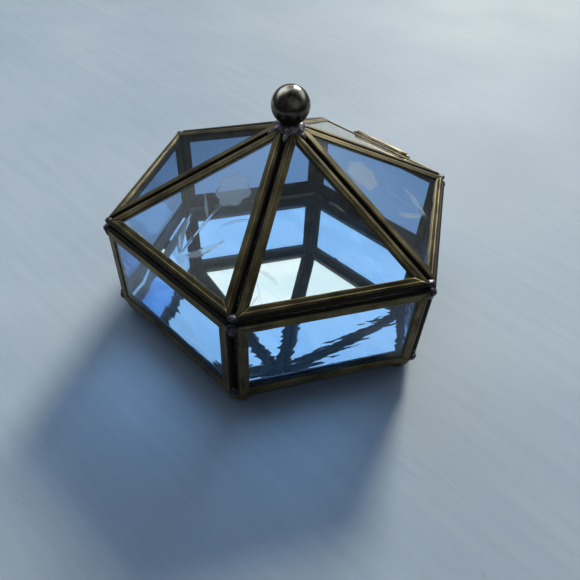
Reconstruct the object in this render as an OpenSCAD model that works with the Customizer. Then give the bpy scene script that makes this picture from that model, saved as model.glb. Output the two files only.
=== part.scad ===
// Hexagonal casket of framed glass with a hinged pyramid lid.
// Z is up, the base stands on z = 0 and the axis of the hexagon is the Z axis.
// Two corners lie on the X axis, and the hinge runs along the +Y side.
// Panels 1 to 6 go anticlockwise seen from above, and panel 1 faces -Y.

/* [Case] */
// Corner radius of the case over its outer faces, which is also the length of one side
side = 66; // [50:1:90]
// Height of a side frame
side_h = 35.4; // [25:0.1:60]

/* [Lid] */
// How far the outer arris of the lid's rim stands inside the outer face of the case
lid_inset = 0.75; // [0.6:0.05:2]
// Slope of a lid panel from the horizontal, in degrees
slope = 28.25; // [22:0.25:35]
// Space between the closed lid and the top of the case
lid_gap = 0.3; // [0.2:0.05:0.6]
// Apothem of the six-sided hole left where the tips are trimmed for the knob
tip_apothem = 2.8; // [2.4:0.1:3.4]

/* [Channel] */
// Thickness of the side frames' channel, from its outer face to its inner face
side_channel_t = 2.8; // [2.4:0.1:3.4]
// Thickness of the lid frames' channel
lid_channel_t = 2.1; // [2:0.1:3]
// Thickness of the brass strip that the channel is folded from
wall = 0.35; // [0.3:0.05:0.5]
// Width of a channel's face on the side frames
side_face = 3.8; // [3:0.1:6]
// Width of a channel's face on the lid frames
lid_face = 3.5; // [3:0.1:5]
// Radius of the bend along the outer arris of the channel
bend_r = 0.7; // [0.5:0.05:0.9]
// Space in the mitred joint between two lengths of channel
mitre_gap = 0.05; // [0.02:0.01:0.1]
// Space left between the inner arrises of two neighbouring frames
seam_gap = 0.06; // [0.04:0.01:0.2]

/* [Glass] */
// Space between a pane and the channel wall, on each face of the pane
pane_gap = 0.05; // [0.03:0.01:0.1]
// Space between the edge of a pane and the back of the channel
edge_gap = 0.4; // [0.2:0.05:0.8]

/* [Floor] */
// How far the floor hangs below the side frames
floor_drop = 4; // [3:0.1:5]
// Thickness of the brass floor sheet
sheet_t = 0.5; // [0.4:0.1:0.8]
// Thickness of the mirror
mirror_t = 2; // [1.5:0.1:2.5]
// Thickness of the strips that stand round the mirror
strip_t = 0.5; // [0.4:0.1:0.8]
// How far the strips stand up inside the side frames
strip_rise = 5.3; // [2:0.1:7]
// Space between the strips and the side frames
strip_gap = 0.1; // [0.05:0.05:0.3]
// Space between the strips and the edges of the mirror and the sheet
floor_gap = 0.1; // [0.05:0.05:0.3]

/* [Feet] */
// Height of the side frames above the table
stand_h = 6.6; // [5.6:0.1:9]
// Diameter of a ball foot
foot_d = 10.6; // [8:0.2:12]
// How much is ground off the bottom of the ball to give a flat
foot_cut = 0.3; // [0.1:0.05:0.6]
// How far the middle of a foot stands inside the corner
foot_inset = 7.2; // [6:0.1:12]

/* [Knob] */
// Diameter of the ball
ball_d = 13; // [11:0.1:16]
// Height of the ball's centre above the point where the six slopes would meet
ball_rise = 5; // [4.4:0.1:5.6]
// Diameter of the spigot below the ball
spigot_d = 2.4; // [2:0.1:2.6]
// Length of the spigot below the ball
spigot_l = 3.6; // [2:0.1:5]

/* [Hinge] */
// Outer diameter of the tube soldered to the lid
tube_d = 2.4; // [2:0.1:3]
// Length of the tube
tube_l = 26; // [16:1:40]
// Diameter of the rod in the tube
rod_d = 1.4; // [1:0.1:1.6]
// Running clearance round the rod, on the radius
rod_gap = 0.05; // [0.02:0.01:0.1]
// Diameter of the two legs that hold the rod to the case
leg_d = 1.2; // [0.8:0.1:1.3]
// How far the legs reach down below the top of the case
leg_drop = 3.2; // [2:0.1:6]
// Distance from the end of the tube to the middle of a leg
leg_out = 1.7; // [1.5:0.1:3]

/* [Solder] */
// Space between a bead of solder and the piece it holds
bead_gap = 0.02; // [0.01:0.01:0.05]
// Radius of a bead at the top of a case corner
top_bead_r = 2; // [1.5:0.1:2.4]
// Radius of a bead at the foot of a case corner
foot_bead_r = 2.3; // [1.6:0.1:2.6]
// Radius of a bead at a lid corner
lid_bead_r = 1.5; // [1.2:0.1:1.6]
// Radius of the mounds over the ends of the hinge legs
mound_r = 1.4; // [1:0.1:1.6]
// Diameter of the run of solder along the hinge tube
run_d = 1.6; // [1:0.1:1.8]
// How far the run of solder ends inside each end of the tube
run_inset = 2; // [1:0.5:4]
// How far the collar of solder under the ball spreads past the hole between the tips
collar_out = 1.2; // [0.6:0.1:2]
// Depth of the foot of that collar below the point where the six slopes would meet
collar_drop = 3; // [2:0.1:4]

/* [Hidden] */

$fn = 48;
sides = 6;
step = 360 / sides;
half = step / 2;

// Colours
brass = [0.44, 0.40, 0.31];
solder = [0.40, 0.41, 0.42];
side_tint = [0.45, 0.66, 0.90, 0.45];
lid_tint = [0.85, 0.92, 0.96, 0.35];
mirror_tint = [0.80, 0.88, 0.95];

// Heights and apothems: an apothem is a distance from the axis, square to a side
case_z = stand_h;
case_top = case_z + side_h;
case_apothem = side * cos(half);
inner_corner_r = (case_apothem - side_channel_t) / cos(half);
strip_apothem = case_apothem - side_channel_t - strip_gap;
floor_apothem = strip_apothem - strip_t - floor_gap;
floor_z = case_z - floor_drop;
mirror_z = floor_z + sheet_t;
lid_apothem = case_apothem - lid_inset;
lid_z = case_top + lid_gap + lid_channel_t * cos(slope);
apex_z = lid_z + lid_apothem * tan(slope);

// Half the angle between two neighbouring lid panels
lid_bend = acos(1 - pow(sin(slope), 2) * (1 - cos(step))) / 2;

// Each frame stops short of its corner, so that square-cut backs meet only at their inner arrises
side_setback = side_channel_t * tan(half) + seam_gap / 2;
hip_setback = lid_channel_t * tan(lid_bend) + seam_gap / 2;

// Outlines of the two kinds of frame, anticlockwise, with x along the side and y up the panel
side_half_l = side / 2 - side_setback;
side_outline = [
    [-side_half_l, 0], [side_half_l, 0], [side_half_l, side_h], [-side_half_l, side_h]
];
slope_l = lid_apothem / cos(slope);
rim_half = lid_apothem * tan(half);
hip_l = norm([rim_half, slope_l]);
rim_half_l = rim_half - hip_setback * hip_l / slope_l;
tip_drop = hip_setback * hip_l / rim_half;
lid_outline = [[-rim_half_l, 0], [rim_half_l, 0], [0, slope_l - tip_drop]];
tip_u = (lid_apothem - tip_apothem) / cos(slope);

// Hinge axis: the legs come down the outer face of the rear frame, and the tube clears the case
hinge_z = case_top + lid_gap + tube_d / 2;
hinge_y = case_apothem + leg_d / 2 + bead_gap;
leg_x = tube_l / 2 + leg_out;

// Point i of outline p, moved inwards by d from both of its edges
function unit(v) = v / norm(v);
function left_of(v) = [-v.y, v.x];
function inset_point(p, i, d) =
    let (
        n = len(p),
        before = left_of(unit(p[i % n] - p[(i + n - 1) % n])),
        after = left_of(unit(p[(i + 1) % n] - p[i % n]))
    )
    p[i % n] + d * (before + after) / (1 + before * after);
function inset_outline(p, d) = [for (i = [0 : len(p) - 1]) inset_point(p, i, d)];

// Section of the channel: x runs from its back to its lips, y from the inner to the outer face
bend_steps = 4;
function channel_section(face, t) = concat(
    [[0, 0], [face, 0], [face, wall], [wall, wall]],
    [[wall, t - wall], [face, t - wall], [face, t]],
    [for (i = [0 : bend_steps])
        let (a = 90 + 90 * i / bend_steps)
        [bend_r, t - bend_r] + bend_r * [cos(a), sin(a)]]
);

// Puts a panel drawn in the XY plane, outer face up, on side k at the given tilt
module on_panel(k, apothem, z, tilt) {
    rotate([0, 0, step * (k - 1) - 90])
        translate([apothem, 0, z])
            rotate([0, tilt, 0])
                rotate([0, 0, 90])
                    children();
}

module on_side(k) {
    on_panel(k, case_apothem, case_z, 90) children();
}

module on_lid(k) {
    on_panel(k, lid_apothem, lid_z, slope) children();
}

// A length of channel of thickness t along edge i of an outline, mitred at its ends and
// trimmed off at height top
module channel_length(outline, i, face, t, top) {
    past = 1;
    start = outline[i];
    run = outline[(i + 1) % len(outline)] - start;
    shrink = mitre_gap / 2 * unit(run);
    intersection() {
        translate([start.x, start.y, -t])
            rotate([0, 0, atan2(run.y, run.x)])
                translate([-past, 0, 0])
                    rotate([90, 0, 90])
                        linear_extrude(norm(run) + 2 * past)
                            polygon(channel_section(face, t));
        translate([0, 0, -t - past])
            linear_extrude(t + 2 * past)
                intersection() {
                    polygon([
                        inset_point(outline, i, -past) + shrink,
                        inset_point(outline, i + 1, -past) - shrink,
                        inset_point(outline, i + 1, face + past) - shrink,
                        inset_point(outline, i, face + past) + shrink
                    ]);
                    translate([-side, -past]) square([2 * side, top + past]);
                }
    }
}

// Lengths of channel round a pane
module channel_frame(outline, face, t, top) {
    for (i = [0 : len(outline) - 1]) {
        channel_length(outline, i, face, t, top);
    }
}

// The room that a frame of thickness t takes up, with a margin all round
module frame_room(outline, t, margin) {
    translate([0, 0, -t - margin])
        linear_extrude(t + 2 * margin)
            polygon(inset_outline(outline, -margin));
}

module side_room(k) {
    on_side(k) frame_room(side_outline, side_channel_t, bead_gap);
}

module lid_room(k) {
    on_lid(k) frame_room(lid_outline, lid_channel_t, bead_gap);
}

module pane(outline, t, top) {
    translate([0, 0, -t + wall + pane_gap])
        linear_extrude(t - 2 * wall - 2 * pane_gap)
            intersection() {
                polygon(inset_outline(outline, wall + edge_gap));
                translate([-side, 0]) square([2 * side, top]);
            }
}

// Hexagonal plate or column with its corners on the X axis
module hexagon(apothem, h) {
    cylinder(r = apothem / cos(half), h = h, $fn = sides);
}

module side_frame(k) {
    color(brass)
        on_side(k) channel_frame(side_outline, side_face, side_channel_t, side_h + 1);
}

module side_glass(k) {
    color(side_tint)
        on_side(k) pane(side_outline, side_channel_t, side_h);
}

module lid_frame(k) {
    color(brass)
        on_lid(k) channel_frame(lid_outline, lid_face, lid_channel_t, tip_u);
}

module lid_glass(k) {
    color(lid_tint)
        on_lid(k) pane(lid_outline, lid_channel_t, tip_u - edge_gap);
}

module floor_mirror() {
    color(mirror_tint)
        translate([0, 0, mirror_z]) hexagon(floor_apothem, mirror_t);
}

module floor_sheet() {
    color(brass)
        translate([0, 0, floor_z]) hexagon(floor_apothem, sheet_t);
}

// Upright strip on side k that keeps the mirror and the sheet in place, mitred at both ends
module floor_strip(k) {
    inner = (strip_apothem - strip_t) * tan(half) - mitre_gap / 2;
    outer = strip_apothem * tan(half) - mitre_gap / 2;
    color(brass)
        rotate([0, 0, step * (k - 1) - 90])
            translate([0, 0, floor_z])
                linear_extrude(floor_drop + strip_rise)
                    polygon([
                        [strip_apothem - strip_t, -inner],
                        [strip_apothem, -outer],
                        [strip_apothem, outer],
                        [strip_apothem - strip_t, inner]
                    ]);
}

// Ball under the corner of the frames, cut flat to stand on and notched for the floor
module foot(k) {
    foot_h = case_z - bead_gap;
    ball_z = foot_d / 2 - foot_cut;
    color(brass)
        difference() {
            rotate([0, 0, step * (k - 1) - 90 - half])
                translate([side - foot_inset, 0, 0])
                    intersection() {
                        union() {
                            translate([0, 0, ball_z]) sphere(d = foot_d);
                            translate([0, 0, ball_z]) cylinder(d = foot_d, h = foot_h - ball_z);
                        }
                        cylinder(d = 2 * foot_d, h = foot_h);
                    }
            translate([0, 0, floor_z - bead_gap]) hexagon(strip_apothem + bead_gap, case_z);
        }
}

// Beads in the groove at every case corner, kept clear of the two frames that they join
module case_beads(r, out, z) {
    color(solder)
        for (k = [1 : sides]) {
            difference() {
                rotate([0, 0, step * (k - 1) - 90 + half])
                    translate([side - out, 0, z])
                        sphere(r = r);
                side_room(k);
                side_room(k + 1);
                cylinder(r = inner_corner_r + 2 * seam_gap, h = case_top);
                hexagon(side, case_z);
            }
        }
}

module top_corner_solder() {
    case_beads(top_bead_r, 0.75 * top_bead_r, case_top - top_bead_r - 2 * bead_gap);
}

module foot_corner_solder() {
    case_beads(foot_bead_r, 0.75 * foot_bead_r, case_z + 0.6 * foot_bead_r);
}

module lid_corner_solder() {
    color(solder)
        for (k = [1 : sides]) {
            difference() {
                rotate([0, 0, step * (k - 1) - 90 + half])
                    translate([lid_apothem / cos(half) - 0.8 * lid_bead_r, 0, lid_z - lid_bead_r / 6])
                        sphere(r = lid_bead_r);
                lid_room(k);
                lid_room(k + 1);
            }
        }
}

// The ball stands in the hole between the trimmed tips
module knob_shape(margin) {
    translate([0, 0, apex_z + ball_rise]) {
        sphere(r = ball_d / 2 + margin, $fn = 96);
        translate([0, 0, -ball_d / 2 - spigot_l])
            cylinder(d = spigot_d + 2 * margin, h = spigot_l + 1);
    }
}

module knob() {
    color(brass) knob_shape(0);
}

// The room of all six lid frames up to their trimmed tips
module lid_tips_room() {
    tip_half = tip_apothem * tan(half);
    for (k = [1 : sides]) {
        on_lid(k)
            translate([0, 0, -lid_channel_t - bead_gap])
                linear_extrude(lid_channel_t + 2 * bead_gap)
                    polygon([
                        [-rim_half, 0],
                        [rim_half, 0],
                        [tip_half, tip_u + bead_gap],
                        [-tip_half, tip_u + bead_gap]
                    ]);
    }
}

// Solder that fills the hole round the spigot and stands up against the ball
module knob_solder() {
    collar_h = 0.8 * collar_drop;
    collar_foot = apex_z - collar_drop;
    plug_foot = apex_z - lid_channel_t / cos(slope) - tip_apothem * tan(slope);
    color(solder)
        difference() {
            union() {
                translate([0, 0, plug_foot])
                    hexagon(tip_apothem, collar_foot + collar_h - plug_foot);
                translate([0, 0, collar_foot])
                    cylinder(r1 = tip_apothem + collar_out, r2 = tip_apothem + collar_out / 2, h = collar_h);
            }
            lid_tips_room();
            knob_shape(bead_gap);
        }
}

// A round bar along X at height z and depth y
module x_bar(d, l, y, z) {
    translate([-l / 2, y, z])
        rotate([0, 90, 0])
            cylinder(d = d, h = l);
}

module hinge_tube() {
    color(brass)
        difference() {
            x_bar(tube_d, tube_l, hinge_y, hinge_z);
            x_bar(rod_d + 2 * rod_gap, tube_l + tube_d, hinge_y, hinge_z);
        }
}

module rod_shape(margin) {
    x_bar(rod_d + 2 * margin, 2 * (leg_x + rod_d / 2 + margin), hinge_y, hinge_z);
    for (x = [-leg_x, leg_x]) {
        translate([x, hinge_y, case_top - leg_drop - margin])
            cylinder(d = leg_d + 2 * margin, h = hinge_z - case_top + leg_drop + margin);
    }
}

module hinge_rod() {
    color(brass) rod_shape(0);
}

// Run of solder in the crevice between the tube and the back of the rim
module hinge_tube_solder() {
    color(solder)
        difference() {
            x_bar(run_d, tube_l - 2 * run_inset, (lid_apothem + hinge_y) / 2, lid_z - run_d / 4);
            x_bar(tube_d + 2 * bead_gap, tube_l, hinge_y, hinge_z);
            lid_room(4);
        }
}

// Mounds of solder over the ends of the two legs
module hinge_leg_solder() {
    color(solder)
        for (x = [-leg_x, leg_x]) {
            difference() {
                translate([x, case_apothem, case_top - leg_drop + mound_r / 2])
                    sphere(r = mound_r);
                rod_shape(bead_gap);
                side_room(4);
            }
        }
}

side_frame(1);  // side_frame_1
side_frame(2);  // side_frame_2
side_frame(3);  // side_frame_3
side_frame(4);  // side_frame_4
side_frame(5);  // side_frame_5
side_frame(6);  // side_frame_6
side_glass(1);  // side_glass_1
side_glass(2);  // side_glass_2
side_glass(3);  // side_glass_3
side_glass(4);  // side_glass_4
side_glass(5);  // side_glass_5
side_glass(6);  // side_glass_6
lid_frame(1);  // lid_frame_1
lid_frame(2);  // lid_frame_2
lid_frame(3);  // lid_frame_3
lid_frame(4);  // lid_frame_4
lid_frame(5);  // lid_frame_5
lid_frame(6);  // lid_frame_6
lid_glass(1);  // lid_glass_1
lid_glass(2);  // lid_glass_2
lid_glass(3);  // lid_glass_3
lid_glass(4);  // lid_glass_4
lid_glass(5);  // lid_glass_5
lid_glass(6);  // lid_glass_6
floor_mirror();
floor_sheet();
floor_strip(1);  // floor_strip_1
floor_strip(2);  // floor_strip_2
floor_strip(3);  // floor_strip_3
floor_strip(4);  // floor_strip_4
floor_strip(5);  // floor_strip_5
floor_strip(6);  // floor_strip_6
foot(1);  // foot_1
foot(2);  // foot_2
foot(3);  // foot_3
foot(4);  // foot_4
foot(5);  // foot_5
foot(6);  // foot_6
top_corner_solder();
foot_corner_solder();
lid_corner_solder();
knob();
knob_solder();
hinge_tube();
hinge_rod();
hinge_tube_solder();
hinge_leg_solder();
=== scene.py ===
# %% [markdown]
# # A six-sided glass casket in old brass
#
# The casket is built the way stained-glass trinket boxes are: every pane sits in its own
# frame of folded brass channel, the frames are soldered at their corners, and a lid of six
# leaning triangles turns on a brass tube at the back. A mirror lies on the floor inside.
#
# The fixed frame holds the exact solids. This lesson dresses them: it folds the strip again
# with its rounded back and crease, lets the solder run, cuts the flowers and waves the glass.

# %% Load the fixed frame
import math

import bpy
from mathutils import Matrix, Vector, noise


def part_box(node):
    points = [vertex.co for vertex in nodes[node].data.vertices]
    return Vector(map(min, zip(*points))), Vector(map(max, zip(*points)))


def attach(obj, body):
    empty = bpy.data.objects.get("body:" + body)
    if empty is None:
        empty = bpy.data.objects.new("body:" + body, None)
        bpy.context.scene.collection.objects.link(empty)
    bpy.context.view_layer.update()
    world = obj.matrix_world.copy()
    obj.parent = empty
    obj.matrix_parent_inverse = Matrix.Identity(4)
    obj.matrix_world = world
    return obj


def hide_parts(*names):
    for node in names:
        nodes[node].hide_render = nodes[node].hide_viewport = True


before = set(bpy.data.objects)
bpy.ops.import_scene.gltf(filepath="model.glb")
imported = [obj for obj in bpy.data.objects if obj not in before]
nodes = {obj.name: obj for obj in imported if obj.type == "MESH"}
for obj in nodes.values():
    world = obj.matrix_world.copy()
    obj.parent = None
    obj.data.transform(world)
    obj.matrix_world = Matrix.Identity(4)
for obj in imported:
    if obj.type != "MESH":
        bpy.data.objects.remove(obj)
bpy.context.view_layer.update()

MM = 0.001

# %% [markdown]
# ## The sizes that the dressing needs
#
# All of it is laid out on the casket's hexagon, so a few lengths are enough: the side, the
# heights, the slope of the lid and the two thicknesses of channel. The case's heights come
# from the solids themselves, which keeps the two models together. The rest are the lengths
# that the solids were drawn with.

# %% Sizes, in millimetres
# STRIP is the thickness of the brass, a CHANNEL how thick a folded frame is, a FACE how wide
# its leaf is, and SEAM the gap between two frames. TIP is how far the lid's frames are
# trimmed back from the axis.
SIDES = range(1, 7)
SIDE = 66.0
HALF = math.radians(30)
SLOPE = math.radians(28.25)
SIDE_CHANNEL = 2.8
LID_CHANNEL = 2.1
STRIP = 0.35
SIDE_FACE = 3.8
LID_FACE = 3.5
SEAM = 0.06
TIP = 2.8
LID_INSET = 0.75
LID_GAP = 0.3
BALL_LIFT = 5.0
BALL_R = 6.499

low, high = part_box("side_frame_1")
CASE_Z = low.z / MM
CASE_TOP = high.z / MM
SIDE_H = CASE_TOP - CASE_Z
CASE_APOTHEM = SIDE * math.cos(HALF)
LID_APOTHEM = CASE_APOTHEM - LID_INSET
LID_Z = CASE_TOP + LID_GAP + LID_CHANNEL * math.cos(SLOPE)
APEX_Z = LID_Z + LID_APOTHEM * math.tan(SLOPE)
BALL_Z = APEX_Z + BALL_LIFT
print(f"case {CASE_Z:.1f} to {CASE_TOP:.1f} mm, rim at {LID_Z:.1f}, apex at {APEX_Z:.1f}")

# %% [markdown]
# ## Finishes as sums
#
# Patina, frost and ripples are masks added and multiplied together. Blender does that with
# Math nodes, which are tiresome to wire by hand, so one small class stands for a socket and
# turns Python's own operators into nodes. One method makes every other kind of node.
# Mark is that socket, and Finish is the material that it belongs to.


# %% A socket that can be added up
class Mark:
    """The output of a node, usable in sums."""

    def __init__(self, finish, socket):
        self.finish = finish
        self.socket = socket

    def _sum(self, operation, *values):
        return self.finish.node("Math", {"operation": operation}, dict(enumerate(values)))

    def __add__(self, other):
        return self._sum("ADD", self, other)

    def __sub__(self, other):
        return self._sum("SUBTRACT", self, other)

    def __rsub__(self, other):
        return self._sum("SUBTRACT", other, self)

    def __mul__(self, other):
        return self._sum("MULTIPLY", self, other)

    def __truediv__(self, other):
        return self._sum("DIVIDE", self, other)

    def __pow__(self, other):
        return self._sum("POWER", self, other)

    def __abs__(self):
        return self._sum("ABSOLUTE", self)

    __radd__ = __add__
    __rmul__ = __mul__

    def at_most(self, other):
        return self._sum("MINIMUM", self, other)

    def at_least(self, other):
        return self._sum("MAXIMUM", self, other)

    def between(self, low, high):
        """0 below low, 1 above high, and a soft step from one to the other."""
        return self.finish.node(
            "MapRange",
            {"interpolation_type": "SMOOTHSTEP"},
            {"Value": self, "From Min": low, "From Max": high},
        )


print("a Mark can be added, subtracted, multiplied, divided and raised to a power")


# %% A material that makes its own nodes
class Finish:
    """A material whose nodes are made by one method."""

    def __init__(self, name):
        self.material = bpy.data.materials.new(name)
        self.material.use_nodes = True
        self.tree = self.material.node_tree
        self.tree.nodes.clear()

    def node(self, kind, settings=None, sockets=None, output=0):
        """A node of some kind: its settings are set first, then its sockets or their links."""
        made = self.tree.nodes.new("ShaderNode" + kind)
        for key, value in (settings or {}).items():
            setattr(made, key, value)
        for key, value in (sockets or {}).items():
            socket = made.inputs[key]
            if isinstance(value, Mark):
                self.tree.links.new(value.socket, socket)
            elif isinstance(value, tuple) and len(value) == 3 and socket.type == "RGBA":
                socket.default_value = (*value, 1)
            else:
                socket.default_value = value
        return Mark(self, made.outputs[output])

    def noise_at(self, where, detail, rough):
        """Noise from 0 to 1, read at the places in where."""
        sockets = {"Vector": where, "Scale": 1.0, "Detail": detail, "Roughness": rough}
        return self.node("TexNoise", None, sockets)

    def grain(self, size, detail, rough, stretch=(1, 1, 1), shift=0.0):
        """Noise from 0 to 1 whose lumps are about size millimetres across."""
        scale = tuple(1 / (size * MM) * s for s in stretch)
        where = self.node(
            "VectorMath",
            {"operation": "MULTIPLY_ADD"},
            {
                0: self.node("TexCoord", output="Object"),
                1: scale,
                2: (shift, shift * 2.3, shift * 0.7),
            },
        )
        return self.noise_at(where, detail, rough)

    def along(self, way, place="Object"):
        """How far each point lies along a direction, times the direction's length."""
        where = self.node("TexCoord", output=place)
        return self.node("VectorMath", {"operation": "DOT_PRODUCT"}, {0: where, 1: way}, "Value")

    def blend(self, amount, first, second):
        """A colour between first and second."""
        return self.node("Mix", {"data_type": "RGBA"}, {0: amount, 6: first, 7: second}, output=2)

    def bump(self, height, depth):
        """Normals for a height from 0 to 1 that stands depth millimetres high."""
        return self.node("Bump", None, {"Height": height, "Distance": depth * MM}, "Normal")

    def principled(self, sockets):
        """Metal, paint or glass, as its sockets say."""
        return self.node("BsdfPrincipled", None, sockets)

    def surface(self, shader):
        """Ends the material in a shader."""
        made = self.tree.nodes.new("ShaderNodeOutputMaterial")
        self.tree.links.new(shader.socket, made.inputs["Surface"])
        return self.material


print("a Finish makes its own nodes")

# %% [markdown]
# ## Old brass
#
# The strip is thin brass that was coloured dark and has since been handled. The patina stays
# in the crease and on the flat leaf, and the metal shows through along the rounded back and
# at the lip. A mask painted per vertex while the channel is folded says where a thumb
# reaches, and where shade is painted: 1 on the crest, and 0 deep in a groove, low on the
# back of the fold and inside the channel, where the brass is painted black as shade. Noise
# breaks it up, so that no line is even. Blender can find sharp edges by itself, but it can't
# know which of them hands reach, and an image of patina would blur close up.
#
# Strip is drawn through rollers, which leaves faint lines along it. A second mark on the
# points says how far along the strip and how far round its section they are, and stretches
# the noise that way.


# %% The patina of the channel
# Painted shade: grooves, the back of each fold and the inside of the channel are painted this
# black.
PAINTED_GROOVE_SHADE = (0.003, 0.0025, 0.002)


def old_brass(name, dark, mid, bright, worn):
    """Brass from dark to mid in clouds, bright where it is worn, and painted black as shade where
    the mask is near 0.
    """
    finish = Finish(name)
    wear_and_shade = finish.node("Attribute", {"attribute_name": "wear_and_shade"}, output="Fac")
    flow = finish.node("Attribute", {"attribute_name": "flow"}, output="Vector")
    cloud = finish.grain(9, 2, 0.5)
    speck = finish.grain(0.9, 3, 0.6, shift=3)
    drawn = finish.noise_at(flow, 3.0, 0.6)
    tarnish = (cloud * 0.45 + drawn * 0.42 + speck * 0.13).between(0.34, 0.66)
    base = finish.blend(tarnish, dark, mid)
    rub = (wear_and_shade + (cloud - 0.5) * 0.5 + (drawn - 0.5) * 0.5).between(0.62, 1.06) * worn
    colour = finish.blend(rub, base, bright)
    # Painted shade: where the mask is near 0 the colour goes to black and the metal turns dull.
    clean_and_unshaded = (wear_and_shade + (speck - 0.5) * 0.12).between(0.02, 0.16)
    sockets = {
        "Base Color": finish.blend(clean_and_unshaded, PAINTED_GROOVE_SHADE, colour),
        "Metallic": (0.80 + rub * 0.18) * clean_and_unshaded,
        "Roughness": 0.42 - rub * 0.10 + (speck - 0.5) * 0.10,
        "Specular IOR Level": 0.15,
        "Normal": finish.bump(drawn * 0.75 + speck * 0.25, 0.03),
    }
    return finish.surface(finish.principled(sockets))


brass = old_brass(
    "old_brass", (0.030, 0.024, 0.013), (0.140, 0.115, 0.060), (0.52, 0.42, 0.22), 0.8
)
# A brighter copy of the old brass for the hinge: painted highlight, standing for the sun that
# lights the hinge at the back.
lit_hinge_brass = old_brass(
    "lit_hinge_brass", (0.10, 0.075, 0.035), (0.26, 0.20, 0.10), (0.66, 0.53, 0.29), 0.9
)
print(brass.name, "and", lit_hinge_brass.name, len(brass.node_tree.nodes), "nodes each")

# %% [markdown]
# ## Solder
#
# Tin-lead solder goes grey and faintly violet under the same dark wash as the brass. Where
# it froze last it keeps a skin of small swirls, and its high spots are rubbed paler. One sum
# of two noises drives both colour and height, so the pale spots are the high ones. The heap
# under the ball is wiped each time the lid is lifted, so it is brighter than the corners.


# %% Dull solder
def dull_solder(name, dark, bright):
    """Solder from dark in its hollows to bright on its high spots."""
    finish = Finish(name)
    swirl = finish.grain(1.6, 3, 0.6, shift=5)
    fine = finish.grain(0.5, 2, 0.5, shift=9)
    rubbed = (swirl * 0.7 + fine * 0.3).between(0.42, 0.66)
    sockets = {
        "Base Color": finish.blend(rubbed, dark, bright),
        "Metallic": 0.9,
        "Roughness": 0.46 - rubbed * 0.14,
        "Normal": finish.bump(swirl * 0.75 + fine * 0.25, 0.18),
    }
    return finish.surface(finish.principled(sockets))


solder = dull_solder("dull_solder", (0.032, 0.029, 0.036), (0.17, 0.16, 0.19))
bright_solder = dull_solder("bright_solder", (0.085, 0.078, 0.092), (0.46, 0.44, 0.50))
print(solder.name, bright_solder.name, "ready")

# %% [markdown]
# ## The polished ball
#
# The ball was turned and buffed before it was coloured, so it is the shiniest brass here.
# Its dark wash has worn through in cloudy patches on top, where it is held, and stays whole
# below. Two materials would meet in a line, so one is used, and the height on the ball pushes
# the threshold of a cloud. Tarnish has left fine pits.


# %% Dark bronze of the ball
def ball_bronze():
    """Polished brass under a dark wash that is worn on top."""
    finish = Finish("ball_bronze")
    cloud = finish.grain(5.5, 2, 0.5, shift=2)
    pits = finish.grain(0.6, 1, 0.5, shift=4).between(0.68, 0.76)
    worn = (finish.along((0, 0, 1 / MM)) - BALL_Z).between(-1.5, 4.5)
    veil = (cloud + pits * 0.1 + 0.30 - worn * 0.34).between(0.36, 0.62)
    sockets = {
        "Base Color": finish.blend(veil, (0.66, 0.61, 0.52), (0.085, 0.075, 0.062)),
        "Metallic": 0.97,
        "Roughness": 0.17 + veil * 0.03 + pits * 0.12,
        "Normal": finish.bump(pits, -0.01),
    }
    return finish.surface(finish.principled(sockets))


bronze = ball_bronze()
print(bronze.name, "ready")

# %% [markdown]
# ## Glass that throws a tinted shadow
#
# A pane is a real slab here, so light bends at both faces. Cycles would then cast a black
# shadow, because the straight line to a lamp is blocked. Real light mostly goes through, so
# for shadow rays alone the pane is a plain tinted filter. Tracing the bent light to the table
# would be truer, but it takes thousands of samples to come clean.


# %% A helper for every pane
CLEAR = {"Roughness": 0.0, "IOR": 1.5, "Transmission Weight": 1.0}


def pane_surface(finish, shader, shade):
    """Ends a glass material: shader for every ray but a shadow's, which is filtered by shade."""
    shadow = finish.node("LightPath", output="Is Shadow Ray")
    filtered = finish.node("BsdfTransparent", None, {"Color": shade})
    return finish.surface(finish.node("MixShader", None, {0: shadow, 1: shader, 2: filtered}))


print("every pane has IOR", CLEAR["IOR"])

# %% [markdown]
# ## Rippled blue glass in the sides
#
# The side panes are drawn or rolled "water" glass: clear blue with long low ripples that bend
# whatever lies behind them into tongues and combs. The ripples run along the side, so the
# noise is squeezed upwards. The bend is only in the normals. The pane itself stays flat,
# because real ripples are far lower than the pane is thick and its edges lie out of sight.


# %% Blue water glass
SIDE_TINT = (0.31, 0.54, 0.93)
SIDE_SHADE = (0.26, 0.33, 0.45)


def water_glass():
    """Blue glass with a long swell and a trace of short ripple."""
    finish = Finish("water_glass")
    swell = finish.grain(21, 0.0, 0.4, (1, 1, 1.3), 1.3)
    ripple = finish.grain(5, 1.0, 0.4, (1, 1, 2.4), 4.1)
    waves = finish.bump(swell * 0.96 + ripple * 0.04, 0.8)
    shader = finish.principled({**CLEAR, "Base Color": SIDE_TINT, "Normal": waves})
    return pane_surface(finish, shader, SIDE_SHADE)


blue_glass = water_glass()
print(blue_glass.name, "ready")

# %% [markdown]
# ## Where panels lie
#
# A side or a lid panel is easiest to draw flat, with x along its lower edge and y up it. One
# matrix for each panel then stands it in its place, and serves both its drawing and its
# frame.


# %% A matrix for every panel
def panel_matrix(k, apothem, z, tilt):
    """Puts a panel drawn flat, outer face up, on side k: x along the side, y up the panel."""
    return (
        Matrix.Rotation(math.radians(60 * (k - 1) - 90), 4, "Z")
        @ Matrix.Translation((apothem, 0, z))
        @ Matrix.Rotation(tilt, 4, "Y")
        @ Matrix.Rotation(math.radians(90), 4, "Z")
    )


def side_matrix(k):
    """Stands a panel upright on side k of the case."""
    return panel_matrix(k, CASE_APOTHEM, CASE_Z, math.radians(90))


def lid_matrix(k):
    """Leans a panel on side k of the lid's rim."""
    return panel_matrix(k, LID_APOTHEM, LID_Z, SLOPE)


print("panel 1 faces", (lid_matrix(1).to_3x3() @ Vector((0, 0, 1))).to_tuple(2))

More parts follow.
